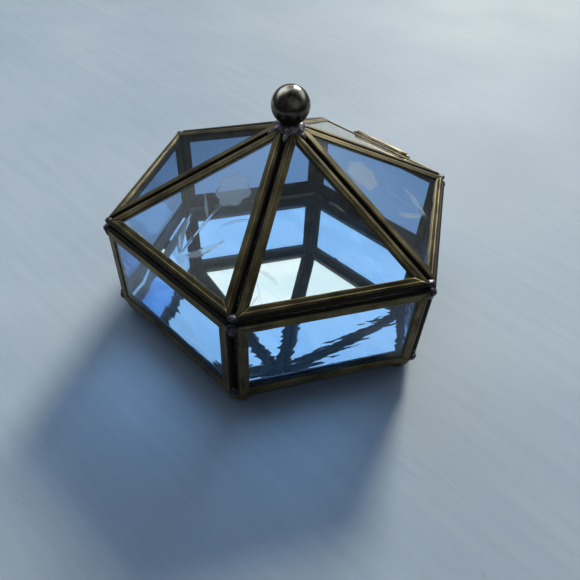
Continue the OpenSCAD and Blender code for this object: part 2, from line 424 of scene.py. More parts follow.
# %% [markdown]
# ## Clear lid glass with a cut flower
#
# Three of the lid's panes, every second one, carry a flower cut on a wheel: a scalloped
# blossom near the tip, a straight stem, and blades that fan from its foot. It is a common
# trade pattern. A cut is a frosted groove a few hundredths of a millimetre deep. Carving it
# into the mesh would take a great many faces, so the drawing is a mask that roughens the
# glass, dents its normals and adds a little milkiness. Each stroke is a lens or a line in
# the pane's own coordinates: s along the rim and u up the slope, both in millimetres.


# %% Strokes of the cutting wheel
def pane_place(finish, k):
    """The signals s and u of lid pane k, in millimetres."""
    turn = lid_matrix(k)
    found = []
    for axis in (0, 1):
        way = turn.to_3x3().col[axis]
        found.append(finish.along(tuple(way / MM)) - turn.translation.dot(way))
    return found


def stroke(s, u, start, end, width, bow, taper=True):
    """A cut from start to end: above 0 inside it, and as many mm as it is to its edge.

    It is width mm wide at its middle and bowed sideways by bow mm. A tapering cut is a blade
    with two points, and any other is a line of even width.
    """
    length = math.hypot(end[0] - start[0], end[1] - start[1])
    ax, ay = (end[0] - start[0]) / length, (end[1] - start[1]) / length
    along = ((s - start[0]) * ax + (u - start[1]) * ay) / length
    across = (u - start[1]) * ax - (s - start[0]) * ay
    arch = along * (1 - along) * 4
    off = abs(across - arch * bow)
    if taper:
        return arch * (width / 2) - off
    ends = along.at_most(1 - along) * length
    return (width / 2 - off).at_most(ends)


def blossom(finish, s, u, centre, radius):
    """A round flower head with seven scallops: above 0 inside it."""
    x, y = s - centre[0], u - centre[1]
    distance = (x * x + y * y) ** 0.5
    angle = finish.node("Math", {"operation": "ARCTAN2"}, {0: y, 1: x})
    lobes = abs(finish.node("Math", {"operation": "SINE"}, {0: angle * 3.5 + 0.6}))
    return radius * 0.84 + lobes * (radius * 0.21) - distance


print("three strokes of the wheel: line, blade and blossom")

# %% The drawings on panes 1, 3 and 5
# A head is its centre and radius. A stem or a blade is start, end, width and bow.
FLOWERS = {
    1: {
        "head": ((0.9, 33.7), 6.3),
        "stems": [((2.0, 6.0), (1.2, 27.4), 0.5, 0.4), ((6.6, 19.5), (13.8, 28.0), 0.35, 1.2)],
        "blades": [
            ((2.0, 6.0), (-5.9, 20.5), 1.9, 1.4),
            ((2.0, 6.0), (-2.6, 13.0), 1.2, 0.5),
            ((2.4, 5.8), (11.8, 19.0), 2.7, -1.3),
            ((1.5, 20.7), (-6.8, 27.4), 1.3, 0.3),
        ],
    },
    3: {
        "head": ((-2.1, 33.6), 6.2),
        "stems": [((-1.5, 24.6), (-0.9, 4.7), 0.5, 0.3), ((1.7, 20.3), (6.5, 26.3), 0.4, 0.5)],
        "blades": [
            ((-0.8, 6.5), (7.3, 17.4), 2.2, -1.0),
            ((-0.1, 7.0), (-10.1, 18.6), 2.4, 1.2),
            ((-0.9, 6.0), (3.4, 14.2), 1.2, -0.4),
        ],
    },
    5: {
        "head": ((0.6, 33.2), 6.1),
        "stems": [((0.4, 5.6), (0.8, 27.0), 0.5, -0.4), ((-5.6, 19.0), (-11.5, 26.6), 0.35, -0.9)],
        "blades": [
            ((0.4, 5.6), (7.0, 19.8), 2.0, -1.2),
            ((0.2, 5.8), (-10.4, 17.6), 2.5, 1.2),
            ((0.5, 20.0), (7.6, 26.6), 1.3, -0.3),
        ],
    },
}
print({k: len(f["stems"]) + len(f["blades"]) + 1 for k, f in FLOWERS.items()}, "strokes")

# %% Lid glass, plain or cut
LID_TINT = (0.96, 0.985, 0.985)
LID_SHADE = (0.84, 0.87, 0.89)
FROST = {
    "Base Color": (0.36, 0.42, 0.49),
    "Roughness": 0.9,
    "Specular IOR Level": 0.0,
    "Transmission Weight": 0.55,
    "IOR": 1.1,
}


def clear_glass(name, k=None):
    """Clear glass with a little dust and, on pane k, its flower."""
    finish = Finish(name)
    dust = finish.grain(0.7, 3, 0.7, shift=6).between(0.52, 0.8)
    film = finish.grain(24, 2, 0.5, shift=8)
    haze = 0.006 + dust * 0.04 + film * 0.01
    sockets = {**CLEAR, "Base Color": LID_TINT}
    if k:
        s, u = pane_place(finish, k)
        drawing = FLOWERS[k]
        head = blossom(finish, s, u, *drawing["head"])
        cut = head
        for line in drawing["stems"]:
            cut = cut.at_least(stroke(s, u, *line, taper=False))
        for blade in drawing["blades"]:
            cut = cut.at_least(stroke(s, u, *blade))
        mask = cut.between(0.0, 0.16)
        milk = finish.grain(2.2, 1, 0.4, shift=11)
        sockets["Roughness"] = mask * (0.015 + milk * 0.02)
        sockets["Normal"] = finish.bump(cut.at_most(0.5).at_least(0.0), -0.05)
        haze = haze + mask * (0.22 + milk * 0.06) + head.between(0.0, 0.3) * 0.06
    layers = {0: haze, 1: finish.principled(sockets), 2: finish.principled(FROST)}
    return pane_surface(finish, finish.node("MixShader", None, layers), LID_SHADE)


plain_glass = clear_glass("clear_glass")
cut_glass = {k: clear_glass(f"cut_glass_{k}", k) for k in FLOWERS}
print("cut panes:", sorted(cut_glass))

# %% [markdown]
# ## Mirror glass
#
# A mirror is silvered behind, so light goes through the glass twice and what it shows seems
# to lie about a third of the way up the glass. One bright face would show everything at the
# wrong depth. The slab is therefore clear glass with a fine dust on it that nobody can wipe
# away, and a separate sheet of silver lies at its back.


# %% Dust on the mirror's face
MIRROR_SHADE = (0.85, 0.88, 0.9)


def mirror_glass():
    """Clear glass under dust and a thin film of dirt, whose blue tint is painted sky light."""
    finish = Finish("mirror_glass")
    dust = finish.grain(0.45, 3, 0.8, shift=13).between(0.56, 0.70)
    film = finish.grain(18, 3, 0.6, shift=15)
    clean_and_unshaded = finish.principled({**CLEAR, "Base Color": (0.93, 0.975, 0.985)})
    # The dust is real; its blue tint is painted sky light.
    dirt = finish.principled({"Base Color": (0.34, 0.47, 0.60), "Roughness": 0.7})
    amount = 0.012 + dust * 0.08 + film * 0.030
    both = finish.node("MixShader", None, {0: amount, 1: clean_and_unshaded, 2: dirt})
    return pane_surface(finish, both, MIRROR_SHADE)


dusty_mirror = mirror_glass()
print(dusty_mirror.name, "ready")

# %% [markdown]
# ## Dull sheet
#
# The floor under the mirror and the strips that edge it are brass too, but nobody can touch
# them. They kept their dark wash whole, and it looks blue-black beside the worn frames.


# %% Brass that is never touched
def dull_sheet():
    """Brass sheet, blue-black all over, with no worn places."""
    finish = Finish("sheet_brass")
    cloud = finish.grain(7, 3, 0.6, shift=19)
    colour = finish.blend(cloud.between(0.35, 0.65), (0.018, 0.022, 0.034), (0.060, 0.074, 0.110))
    sockets = {"Base Color": colour, "Metallic": 0.8, "Roughness": 0.42 + cloud * 0.12}
    return finish.surface(finish.principled(sockets))


sheet_brass = dull_sheet()
print(sheet_brass.name, "ready")

# %% [markdown]
# ## Dressing the flat pieces
#
# Panes, mirror, floor sheet and its strips are flat, so their exact solids can be shown as
# they are. Each only gets its finish, and panes 1, 3 and 5 of the lid get their flowers.


# %% Dress them
def dress(node, material):
    """Gives a carried-over solid its finish."""
    mesh = nodes[node].data
    mesh.materials.clear()
    mesh.materials.append(material)


dress("floor_mirror", dusty_mirror)
dress("floor_sheet", sheet_brass)
for k in SIDES:
    dress(f"floor_strip_{k}", sheet_brass)
    dress(f"side_glass_{k}", blue_glass)
    dress(f"lid_glass_{k}", cut_glass.get(k, plain_glass))
print("panes, mirror glass, floor sheet and its strips dressed")

# %% [markdown]
# ## Skins from rings
#
# Nearly everything here is a section carried along a path: a folded strip, a turned ball, a
# bent rod. So one helper joins rings of points into a skin, and another makes the object. It
# stores the mask of wear and painted shade and the flow of the strip on the points, and hands
# the object to the body of the moving frame that it rides on. Curves with a bevel could make
# most of these shapes, but they can't be mitred, and here the masks are written as the
# points are made.


# %% A ring of points
def circle(radius, spokes):
    """The points of a circle round the origin, as pairs, anticlockwise."""
    turns = [2 * math.pi * i / spokes for i in range(spokes)]
    return [(radius * math.cos(turn), radius * math.sin(turn)) for turn in turns]


print("a circle of 4:", [(round(x), round(y)) for x, y in circle(1, 4)])


# %% Rings joined into a skin
# The first line is the wear of pieces that are rubbed alike all over. The second lays out
# the flow: a lump of noise is LUMP mm long, and the points round a section and the seeds of
# the strips are that many lumps apart.
EVEN_WEAR, WIRE_WEAR, TUBE_WEAR = 0.5, 0.8, 0.6
LUMP, ROUND_STEP, SEED_STEP = 9, 0.62, 3.1


def skin(rings, wear_and_shade, capped=True, seed=0):
    """Points, faces, the mask of wear and painted shade, and flow for rings that all have the same
    number of points.
    """
    count = len(rings[0])
    points = [Vector(p) for ring in rings for p in ring]
    middles = [sum((Vector(p) for p in ring), Vector()) / count for ring in rings]
    flow = []
    far = 0.0
    for before, middle in zip(middles[:1] + middles, middles):
        far += (middle - before).length
        flow += [(far / LUMP, i * ROUND_STEP, seed * SEED_STEP) for i in range(count)]
    faces = []
    for r in range(len(rings) - 1):
        for i in range(count):
            j = (i + 1) % count
            a, b = r * count, (r + 1) * count
            faces.append((a + i, a + j, b + j, b + i))
    if capped:
        last = (len(rings) - 1) * count
        faces.append(tuple(range(count - 1, -1, -1)))
        faces.append(tuple(last + i for i in range(count)))
    return points, faces, [w for _ in rings for w in wear_and_shade], flow


cube = skin([[(x, y, z) for x, y in circle(1, 4)] for z in (0, 1)], [0] * 4)
print("two rings of 4 points make", len(cube[1]), "faces")


# %% Skins made into an object
def piece(name, skins, material, body, stands_for):
    """One object from several skins, in millimetres, that rides on a body.

    It replaces the solids that it stands for.
    """
    points, faces, wear_and_shade, flow = [], [], [], []
    for some_points, some_faces, some_wear_and_shade, some_flow in skins:
        start = len(points)
        points += [p * MM for p in some_points]
        faces += [tuple(start + i for i in face) for face in some_faces]
        wear_and_shade += some_wear_and_shade
        flow += [value for mark in some_flow for value in mark]
    mesh = bpy.data.meshes.new(name)
    mesh.from_pydata(points, [], faces)
    mesh.validate()
    mesh.shade_smooth()
    mark = mesh.attributes.new("wear_and_shade", "FLOAT", "POINT")
    mark.data.foreach_set("value", wear_and_shade)
    mark = mesh.attributes.new("flow", "FLOAT_VECTOR", "POINT")
    mark.data.foreach_set("vector", flow)
    mesh.materials.append(material)
    made = bpy.data.objects.new(name, mesh)
    bpy.context.scene.collection.objects.link(made)
    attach(made, body)
    if stands_for:
        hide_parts(*stands_for)
    return made


print("pieces are made in millimetres and stored in metres")

# %% [markdown]
# ## Folding the channel
#
# The strip is folded over the pane's edge. The fold is fuller than the leaf and a crease
# parts them, which is what gives these frames their double line. A fold is given by where its
# ridge lies, how steep its back may get before it is painted black as shade, and how bright
# the ridge is rubbed: the hips are handled most, the upright frames least. The section runs
# from the outer lip round the back to the inner lip and home along the inside. Its corners are
# mitred by sliding each section point along the line that the outline makes when it shrinks.


# %% The section of the channel
def channel_section(face, depth, ridge, crest, pride):
    """Points (distance from the edge, height over the outer face, wear and painted shade), from
    lip to lip.

    The leaf is face mm wide and the channel depth mm deep. The ridge lies ridge mm from the
    edge and is worn by pride. Of the rounded back, only what is steeper than crest degrees
    is worn; the rest of the back gets 0 and is painted black as shade.
    """
    section = [(face, -0.30, 0.40), (face - 0.03, -0.17, 0.62), (face - 0.14, -0.10, 0.55)]
    section += [(face - 0.7, -0.11, 0.42), (ridge + 0.5, -0.13, 0.34), (ridge + 0.30, -0.16, 0.2)]
    section += [(ridge + 0.16, -0.12, 0.4), (ridge, -0.05, pride), (ridge - 0.16, -0.07, 0.6)]
    wide, tall = ridge - 0.3, 1.35
    for degrees in (72, 58, 44, 30, 16, 4, 0):
        turn = math.radians(degrees)
        # below crest degrees the mask is 0, and the back is painted black as shade
        worn = max(0.0, (degrees - crest) / 90)
        section.append((wide * (1 - math.cos(turn)), -0.10 - tall * (1 - math.sin(turn)), worn))
    section += [(0.0, -depth + 0.25, 0.0), (-SEAM / 2 + 0.002, -depth, 0.0)]
    section += [(1.3, -depth, 0.1), (face - 0.1, -depth, 0.3), (face, -depth + 0.1, 0.4)]
    section += [(face, -depth + STRIP, 0.3), (STRIP + 0.1, -depth + STRIP, 0.1)]
    return section + [(STRIP + 0.1, -STRIP - 0.1, 0.1), (face - 0.02, -STRIP - 0.1, 0.3)]


# ridge, crest and pride of each kind of fold
SIDE_FOLD = (1.1, 62, 0.55)
RIM_FOLD = (1.7, 56, 0.85)
HIP_FOLD = (1.7, 46, 0.92)
print("section points:", len(channel_section(SIDE_FACE, SIDE_CHANNEL, *SIDE_FOLD)))


# %% Corners of an outline
def unit(v):
    """A vector of length 1 the same way."""
    return v / v.length


def inset_point(outline, i, d):
    """Corner i of an outline, moved inwards by d from both of its edges."""
    count = len(outline)
    here = outline[i % count]
    before = unit(here - outline[(i - 1) % count])
    after = unit(outline[(i + 1) % count] - here)
    left = [Vector((-v.y, v.x)) for v in (before, after)]
    return here + d * (left[0] + left[1]) / (1 + left[0].dot(left[1]))


square = [Vector(p) for p in ((0, 0), (9, 0), (9, 9), (0, 9))]
print("a square's corner, 1 mm in:", inset_point(square, 1, 1).to_tuple(1))


# %% Mitred lengths
# The leaf starts LEAF_START mm from the edge, and the last LIP mm of it are free to wander.
LENGTH_STEPS = 30
MITRE_GAP = 0.02
LEAF_START = 1.1
LIP = 1.4
DENT = 0.05
SWAY = 0.10


def channel_length(outline, i, face, depth, fold, turn, seed, top=math.inf):
    """One length of channel along edge i, mitred at both ends and trimmed at height top.

    Its leaves dip by up to DENT mm and its lips wander by up to SWAY mm, less at the ends.
    """
    section = channel_section(face, depth, *fold)
    run = unit(outline[(i + 1) % len(outline)] - outline[i])
    inward = Vector((-run.y, run.x))
    rings = []
    ends = []
    for w, _, _ in section:
        a = inset_point(outline, i, w) + run * MITRE_GAP
        b = inset_point(outline, i + 1, w) - run * MITRE_GAP
        if b.y > top:
            b = a + (b - a) * ((top - a.y) / (b.y - a.y))
        if a.y > top:
            a = b + (a - b) * ((top - b.y) / (a.y - b.y))
        ends.append((a, b))
    for step in range(LENGTH_STEPS + 1):
        f = 0.5 - 0.5 * math.cos(math.pi * step / LENGTH_STEPS)
        f = 0.5 * f + 0.5 * step / LENGTH_STEPS
        wave = noise.noise(Vector((f * 5, seed * 3.7, 0)))
        sway = noise.noise(Vector((f * 7, seed * 3.7, 9)))
        fade = min(1, 6 * f, 6 * (1 - f))
        ring = []
        for (w, z, _), (a, b) in zip(section, ends):
            on_leaf = min(1, max(0, w - LEAF_START))
            dip = -DENT * abs(wave) * fade * on_leaf * (1 if z > -depth / 2 else -1)
            on_lip = max(0, w - face + LIP) / LIP
            place = a + (b - a) * f + inward * (SWAY * sway * fade * on_lip)
            ring.append(turn @ Vector((place.x, place.y, z + dip)))
        rings.append(ring)
    return skin(rings, [worn for _, _, worn in section], seed=seed)


print("mitres stop", MITRE_GAP, "mm short, leaves dip", DENT, "mm and lips wander", SWAY, "mm")

# %% [markdown]
# ## Six upright frames and six leaning ones
#
# A side frame is a rectangle of four lengths; a lid frame is a triangle of three whose tips
# are trimmed off, because six sharp tips would not meet in a point. Each stops short of the
# corner so that the square backs of two neighbours touch only at their inner edges. That
# leaves the dark V-shaped grooves that run down every corner and up every hip.

# %% Outlines
SETBACK = SIDE_CHANNEL * math.tan(HALF) + SEAM / 2
LID_BEND = math.acos(1 - math.sin(SLOPE) ** 2 * (1 - math.cos(math.radians(60)))) / 2
HIP_SETBACK = LID_CHANNEL * math.tan(LID_BEND) + SEAM / 2
half = SIDE / 2 - SETBACK
side_outline = [Vector(p) for p in ((-half, 0), (half, 0), (half, SIDE_H), (-half, SIDE_H))]
slope_l = LID_APOTHEM / math.cos(SLOPE)
full_rim = LID_APOTHEM * math.tan(HALF)
hip_l = math.hypot(full_rim, slope_l)
rim = full_rim - HIP_SETBACK * hip_l / slope_l
peak = slope_l - HIP_SETBACK * hip_l / full_rim
lid_outline = [Vector(p) for p in ((-rim, 0), (rim, 0), (0, peak))]
trim = (LID_APOTHEM - TIP) / math.cos(SLOPE)
print(f"side frame {2 * half:.1f} x {SIDE_H:.1f} mm, lid frame {2 * rim:.1f} x {trim:.1f} mm")

# %% Make the frames
for k in SIDES:
    upright, leaning = side_matrix(k), lid_matrix(k)
    lengths = [
        channel_length(side_outline, i, SIDE_FACE, SIDE_CHANNEL, SIDE_FOLD, upright, k * 10 + i)
        for i in range(4)
    ]
    piece(f"side_channel_{k}", lengths, brass, "base", [f"side_frame_{k}"])
    lengths = [
        channel_length(lid_outline, i, LID_FACE, LID_CHANNEL, fold, leaning, k * 10 + i + 5, trim)
        for i, fold in enumerate((RIM_FOLD, HIP_FOLD, HIP_FOLD))
    ]
    piece(f"lid_channel_{k}", lengths, brass, "lid", [f"lid_frame_{k}"])
print("12 frames folded from", 6 * 4 + 6 * 3, "lengths")

# %% [markdown]
# ## The silver under the mirror
#
# Silvering is a film too thin to measure. Here it is a very thin six-sided sheet laid just
# inside the bottom of the glass. Its tone varies a little, as old silvering does.


# %% Lay the silver
def silver():
    """Polished silver that is a little greyer in broad patches."""
    finish = Finish("silver")
    tone = finish.grain(26, 2, 0.5, (1, 1.8, 1), 17).between(0.42, 0.6)
    colour = finish.blend(tone, (0.97, 0.985, 0.985), (0.83, 0.90, 0.94))
    sockets = {"Base Color": colour, "Metallic": 1.0, "Roughness": 0.01}
    return finish.surface(finish.principled(sockets))


low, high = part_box("floor_mirror")
hexagon = circle(high.x / MM - 0.05, 6)
rings = [[(x, y, low.z / MM + lift) for x, y in hexagon] for lift in (0.02, 0.06)]
silvering = piece("silvering", [skin(rings, [0] * 6)], silver(), "base", [])
silvering.data.shade_flat()
print("silver at z", round(low.z / MM, 2), "mm")

# %% [markdown]
# ## Drops of solder
#
# The maker ran a fat drop of solder into each groove where three frames meet. A drop is round
# because of surface tension, but it wets the brass and slumps into the seam, so it is a ball
# that has been squashed along some directions and pushed about by noise. Metaballs would
# flow together by themselves, but they are hard to hold to a size.


# %% A drop
DROP_STEPS, DROP_SPOKES = 14, 22


def drop(centre, size, turn=Matrix.Identity(3), seed=0, rough=0.16):
    """A lumpy ball: size is its three half-widths in millimetres."""
    made = []
    for step in range(DROP_STEPS + 1):
        v = math.pi * (step + 0.02) / (DROP_STEPS + 0.04)
        ring = []
        for x, y in circle(math.sin(v), DROP_SPOKES):
            way = Vector((x, y, math.cos(v)))
            lump = noise.noise(way * 1.3 + Vector((seed * 5.1, 0, 0))) * rough
            lump += noise.noise(way * 3.1 + Vector((0, seed * 3.3, 0))) * rough * 0.45
            ring.append(centre + turn @ Vector(w * s * (1 + lump) for w, s in zip(way, size)))
        made.append(ring[::-1])
    return skin(made, [EVEN_WEAR] * DROP_SPOKES)


def corner(k, out, z):
    """A point on the line from the axis to corner k, and the turn that faces it outwards."""
    turn = Matrix.Rotation(math.radians(60 * (k - 1) - 60), 3, "Z")
    return turn @ Vector((out, 0, z)), turn


print("corner 1 is at", corner(1, SIDE, CASE_Z)[0].to_tuple(1))

# %% Drops at every corner
# Each drop is its distance from the axis, height, half-widths, seed and roughness.
LID_SIDE = LID_APOTHEM / math.cos(HALF)
CORNER_DROPS = {
    ("top_drops", "base", "top_corner_solder"): [
        (SIDE - 1.75, CASE_TOP - 1.9, (1.7, 2.3, 1.75), 0, 0.16),
        (SIDE - 1.45, CASE_TOP - 3.5, (1.0, 1.2, 1.3), 20, 0.16),
    ],
    ("foot_drops", "base", "foot_corner_solder"): [
        (SIDE - 1.9, CASE_Z + 1.5, (1.8, 2.2, 1.45), 40, 0.16),
        (SIDE - 1.75, CASE_Z + 3.0, (1.2, 1.3, 1.5), 60, 0.16),
    ],
    ("lid_drops", "lid", "lid_corner_solder"): [
        (LID_SIDE - 1.7, LID_Z - 0.6, (1.4, 1.7, 0.95), 80, 0.25),
    ],
}
for (name, body, node), drops in CORNER_DROPS.items():
    made = []
    for k in SIDES:
        for out, z, size, seed, rough in drops:
            where, turn = corner(k, out, z)
            made.append(drop(where, size, turn, k + seed, rough))
    piece(name, made, solder, body, [node])
    print(name, "is", len(made), "drops")

# %% [markdown]
# ## The ball and the heap of solder under it
#
# The ball is turned, so its skin is a profile spun round the axis, with a short neck that
# stands in the hole between the six tips. Under it the solder was heaped on hot and pushed
# into the heads of the six hip grooves, where it froze in fingers: a lumpy cone that swells
# six times round, with a long drop laid down each hip.


# %% The ball
BALL_SPOKES = 72


def turned(profile, spokes, centre=(0, 0)):
    """A profile of (radius, height) points spun round an upright axis."""
    rings = [
        [(centre[0] + x, centre[1] + y, z) for x, y in circle(radius, spokes)]
        for radius, z in profile
    ]
    return skin(rings, [EVEN_WEAR] * spokes)


profile = [(1.2, BALL_Z - 10.0), (1.2, BALL_Z - 6.9), (1.9, BALL_Z - 6.5), (2.3, BALL_Z - 6.25)]
for step in range(5, 44):
    a = math.pi * (step / 44 - 0.5)
    profile.append((BALL_R * math.cos(a), BALL_Z + BALL_R * math.sin(a)))
profile.append((0.01, BALL_Z + BALL_R))
piece("ball", [turned(profile, BALL_SPOKES)], bronze, "lid", ["knob"])
print("ball centre at", round(BALL_Z, 1), "mm")

# %% The heap and its fingers
HEAP_R, HEAP_TOP_R = 5.2, 3.3
HEAP_Z, HEAP_H = APEX_Z - 3.1, 2.35
HIP_RISE = math.tan(SLOPE) * math.cos(HALF)
heap = []
for step in range(13):
    f = step / 12
    radius = HEAP_R * (1 - f) ** 0.7 + HEAP_TOP_R * f
    ring = []
    for x, y in circle(1, BALL_SPOKES):
        way = Vector((x, y, f * 0.8))
        lump = noise.noise(way * 2.0) * 0.45 + noise.noise(way * 5.0) * 0.2
        finger = max(0, math.cos(6 * math.atan2(y, x))) ** 3 * (1 - f) * 0.9
        reach = radius + (lump + finger) * (1 - f * 0.7)
        ring.append((reach * x, reach * y, HEAP_Z + f * HEAP_H + lump * 0.5 * (1 - f)))
    heap.append(ring)
heap_skins = [skin(heap, [EVEN_WEAR] * BALL_SPOKES)]
tilt = Matrix.Rotation(math.atan(HIP_RISE), 3, "Y")
for k in SIDES:
    reach = HEAP_R + 0.9 * noise.noise(Vector((k * 2.3, 0, 0)))
    where, turn = corner(k, reach, APEX_Z - reach * HIP_RISE - 0.75)
    heap_skins.append(drop(where, (2.6, 0.95, 0.7), turn @ tilt, k + 100, 0.25))
piece("tip_solder", heap_skins, bright_solder, "lid", ["knob_solder"])
print("heap", 2 * HEAP_R, "mm across with", len(heap_skins) - 1, "fingers")

# %% [markdown]
# ## Feet
#
# Six little balls are soldered under the corners, each ground flat where it stands. Most of a
# ball lies under the floor and is filed down to meet it. Only the crescent outside the floor
# reaches up to the frames. So a foot is a turned cap with a crescent standing on its rim. A
# whole ball cut by a Boolean would be shorter to write, but leaves long thin faces.

# %% The crescent of a foot
FOOT_R, FOOT_CUT = 5.3, 0.3
FOOT_Z = FOOT_R - FOOT_CUT
FOOT_OUT = SIDE - 7.2
FLOOR_CORNER = 62.85
FOOT_LEVELS, FOOT_STEPS, FOOT_SPOKES = 5, 16, 48


def crescent(out, low, high):
    """The part of a ball outside the floor's corner, between two heights."""
    rings = []
    room = FLOOR_CORNER - out
    for level in range(FOOT_LEVELS + 1):
        z = low + (high - low) * level / FOOT_LEVELS
        radius = math.sqrt(FOOT_R**2 - min(0, z - FOOT_Z) ** 2)
        widest = HALF + math.acos(room * math.cos(HALF) / radius)
        ring = []
        for i in range(FOOT_STEPS + 1):
            turn = widest * (2 * i / FOOT_STEPS - 1)
            ring.append((out + radius * math.cos(turn), radius * math.sin(turn), z))
        aside = radius * math.sin(widest)
        for i in range(1, FOOT_STEPS):
            t = aside * (1 - 2 * i / FOOT_STEPS)
            ring.append((FLOOR_CORNER - abs(t) * math.tan(HALF), t, z))
        rings.append([Vector(p) for p in ring])
    return rings


print("a foot stands out", round(FOOT_OUT + FOOT_R - FLOOR_CORNER, 2), "mm past the floor")

# %% Six feet
floor_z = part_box("floor_sheet")[0].z / MM
edge = crescent(FOOT_OUT, floor_z - 0.12, CASE_Z - 0.05)
ground = math.asin(FOOT_Z / FOOT_R)
filed = math.asin((FOOT_Z - floor_z + 0.1) / FOOT_R)
profile = []
for step in range(9):
    a = -ground + (ground - filed) * step / 8
    profile.append((FOOT_R * math.cos(a), FOOT_Z + FOOT_R * math.sin(a)))
for k in SIDES:
    where, turn = corner(k - 1, FOOT_OUT, 0)
    cap = turned(profile, FOOT_SPOKES, where)
    outside = skin([[turn @ p for p in ring] for ring in edge], [EVEN_WEAR] * len(edge[0]))
    piece(f"ball_foot_{k}", [cap, outside], brass, "base", [f"foot_{k}"])
print("six feet, each", 2 * FOOT_R, "mm across")

# %% [markdown]
# ## The hinge
#
# The hinge is homely: a length of tube soldered to the back of the rim, and a wire threaded
# through it whose ends are bent down and soldered to the rear frame. The wire is a round
# section carried along a path with rounded bends, and the tube is a skin with a bore.


# %% Where the hinge is
WIRE_R, BEND_R, BORE_R = 0.6, 1.2, 0.8
WIRE_SPOKES, TUBE_SPOKES = 14, 32
low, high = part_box("hinge_tube")
PIN_Y, PIN_Z = (low.y + high.y) / 2 / MM, (low.z + high.z) / 2 / MM
TUBE_R, TUBE_HALF = (high.z - low.z) / 2 / MM - 0.01, high.x / MM
low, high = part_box("hinge_rod")
LEG_X, LEG_FOOT = high.x / MM - 0.7, low.z / MM
print("hinge axis at y", round(PIN_Y, 2), "z", round(PIN_Z, 2))


# %% Bent wire
def wire(path, radius):
    """A round wire along a path in a plane across Y."""
    rings = []
    for i, here in enumerate(path):
        ahead = unit(path[min(i + 1, len(path) - 1)] - path[max(i - 1, 0)])
        side = ahead.cross(Vector((0, 1, 0)))
        ring = [here + side * a + Vector((0, b, 0)) for a, b in circle(radius, WIRE_SPOKES)]
        rings.append(ring[::-1])
    return skin(rings, [WIRE_WEAR] * WIRE_SPOKES)


path = [Vector((-LEG_X, PIN_Y, LEG_FOOT)), Vector((-LEG_X, PIN_Y, PIN_Z - 1.4))]
for step in range(1, 7):
    a = math.radians(180 - 15 * step)
    bend = Vector((BEND_R + BEND_R * math.cos(a), 0, BEND_R * math.sin(a) - BEND_R))
    path.append(Vector((-LEG_X, PIN_Y, PIN_Z)) + bend)
path += [Vector((-p.x, p.y, p.z)) for p in reversed(path)]
rod = wire(path, WIRE_R)
piece("hinge_wire", [rod], lit_hinge_brass, "base", ["hinge_rod"])
print("wire bent over", len(path), "points")

# %% The tube, with its bore
half_tube = [(4, TUBE_R), (TUBE_HALF - 0.12, TUBE_R), (TUBE_HALF, 1.1), (TUBE_HALF, BORE_R)]
profile = [(-x, radius) for x, radius in reversed(half_tube)] + half_tube
profile += [(0, BORE_R), (-TUBE_HALF, BORE_R)]
rings = []
for x, radius in profile:
    ring = [(x, PIN_Y + a, PIN_Z + b) for a, b in circle(radius, TUBE_SPOKES)]
    rings.append(ring[::-1])
barrel = skin(rings, [TUBE_WEAR] * TUBE_SPOKES, capped=False)
piece("hinge_barrel", [barrel], lit_hinge_brass, "lid", ["hinge_tube"])
print("tube", round(2 * TUBE_HALF, 1), "mm long")

# %% The solder of the hinge
run = []
for i in range(9):
    where = Vector((-10 + 2.5 * i, PIN_Y - 1.0, LID_Z - 0.35))
    run.append(drop(where, (1.9, 0.62, 0.72), seed=i + 120))
piece("hinge_fillet", run, solder, "lid", ["hinge_tube_solder"])
mounds = []
for x in (-LEG_X, LEG_X):
    where = Vector((x, CASE_APOTHEM + 0.35, LEG_FOOT + 0.75))
    mounds.append(drop(where, (1.35, 0.85, 1.4), seed=x))
piece("hinge_mounds", mounds, solder, "base", ["hinge_leg_solder"])
print(len(run), "drops hold the tube and", len(mounds), "mounds hold the wire")

# %% [markdown]
# ## A painted board to stand on
#
# The casket stands on a plain board in pale blue-grey paint. Paint is matt with a faint
# brushed grain and a little dirt, just enough to keep the shadow from looking drawn. Towards
# its near edge it is painted a little darker, as painted shade where the light falls off.


# %% Its paint
TO_VIEWER = Vector((0.66, -0.75, 0.0))


def board_paint():
    """Blue-grey paint with brushed grain, dirt and a near edge darkened as painted shade."""
    finish = Finish("board_paint")
    brushed = finish.grain(5, 3, 0.6, (0.1, 1, 1), 21)
    patch = finish.grain(90, 2, 0.5, shift=23)
    dirt = finish.grain(4.0, 4, 0.75, shift=25).between(0.66, 0.74)
    tone = (brushed * 0.4 + patch * 0.6).between(0.3, 0.7)
    colour = finish.blend(tone, (0.375, 0.446, 0.522), (0.445, 0.515, 0.582))
    colour = finish.blend(dirt * 0.45, colour, (0.30, 0.33, 0.37))
    # Painted shade: up to a fifth darker towards the viewer, where the light falls off.
    painted_falloff = finish.along(TO_VIEWER).between(0.0, 0.14) * 0.20
    sockets = {
        "Base Color": finish.blend(painted_falloff, colour, (0.02, 0.02, 0.03)),
        "Roughness": 0.62 + brushed * 0.10,
        "Specular IOR Level": 0.2,
        "Normal": finish.bump(brushed, 0.10),
    }
    return finish.surface(finish.principled(sockets))


paint = board_paint()
print(paint.name, "ready")

# %% The board
mesh = bpy.data.meshes.new("board")
left, right_end, near, far = -0.46, 0.20, -0.19, 0.56
corners = [(left, near, 0), (right_end, near, 0), (right_end, far, 0), (left, far, 0)]
mesh.from_pydata(corners, [], [(0, 1, 2, 3)])
board = bpy.data.objects.new("board", mesh)
board.data.materials.append(paint)
bpy.context.scene.collection.objects.link(board)
print("board", right_end - left, "by", far - near, "m")

# %% [markdown]
# ## Soft light from behind
#
# One broad lamp stands low behind the casket, 31 degrees up, and throws the shadow towards
# the viewer. It is 14 degrees across in the sky, so the shadow's edge is soft, and a little
# warmer than the sky, so the shadow is the bluer part of the board. An area lamp close by
# would be as soft, but would light the near and far ends of the board unevenly.


